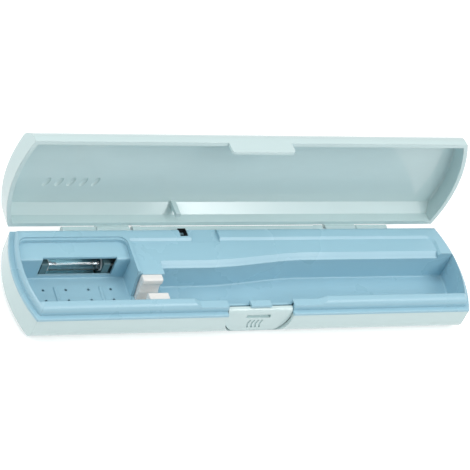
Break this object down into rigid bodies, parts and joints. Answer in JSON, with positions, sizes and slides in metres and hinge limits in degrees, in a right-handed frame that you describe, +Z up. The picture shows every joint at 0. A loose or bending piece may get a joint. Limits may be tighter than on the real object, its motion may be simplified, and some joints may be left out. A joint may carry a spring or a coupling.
{
  "type": "toothbrush sterilizer case",
  "caption": "Long bow-ended travel case, lid open, with a light blue tray: a lamp chamber for a toothbrush head, a white neck clip and a curved handle trough.",
  "frame": {"origin": "centre of the flat underside of the base, seen in plan", "axes": "+X along the case from the brush-head end to the handle end, +Y from the button to the hinge, +Z up from the underside to the open tray"},
  "size_m": [0.2256, 0.0687, 0.0671],
  "materials": {
    "shell": "smooth, pale icy green-grey",
    "tray": "smooth, light blue",
    "white_plastic": "smooth, warm white",
    "steel": "plain bright",
    "quartz": "clear tube",
    "dark_rubber": "matt",
    "bright_sheet": "bright sheet",
    "board": "green solder resist",
    "core": "dark ferrite with a taped winding",
    "can": "sleeved can",
    "black_plastic": "matt",
    "plunger_plastic": "matt",
    "cell": "plain wrapped can",
    "lead_white": "insulated wire",
    "lead_red": "insulated wire"
  },
  "bodies": {
    "base": {"base_shell": "shell", "inner_tray": "tray", "neck_clip": "white_plastic", "hinge_pin_right": "steel", "hinge_pin_left": "steel", "button_spring": "steel", "plunger_spring": "steel", "spring_contact": "steel", "plate_contact": "steel", "tray_screws": "steel", "uv_lamp": "quartz", "lamp_holder_left": "dark_rubber", "lamp_holder_right": "dark_rubber", "lamp_reflector": "bright_sheet", "circuit_board": "board", "transformer": "core", "capacitor": "can", "transistor": "black_plastic", "timer_chip": "black_plastic", "interlock_switch": "black_plastic", "battery_left": "cell", "battery_right": "cell", "lamp_leads": "lead_white", "battery_leads": "lead_red"},
    "lid": {"lid_shell": "shell"},
    "button": {"release_button": "shell"},
    "plunger": {"interlock_plunger": "plunger_plastic"},
    "door": {"battery_door": "shell"}
  },
  "joints": [
    {"name": "lid_hinge", "type": "hinge", "parent": "base", "child": "lid", "pos_m": [0, 0.02665, 0.0149], "axis": [1, 0, 0], "range_deg": [0, 95.3]},
    {"name": "button_slide", "type": "slide", "parent": "base", "child": "button", "axis": [0, 1, 0], "range_m": [0, 0.0009], "stiffness_N_per_m": 800, "springref_m": -0.0015},
    {"name": "plunger_slide", "type": "slide", "parent": "base", "child": "plunger", "axis": [0, 0, -1], "range_m": [0, 0.001], "stiffness_N_per_m": 300, "springref_m": -0.001, "deforming": ["plunger_spring"]},
    {"name": "door_slide", "type": "slide", "parent": "base", "child": "door", "axis": [1, 0, 0], "range_m": [0, 0.105]}
  ]
}
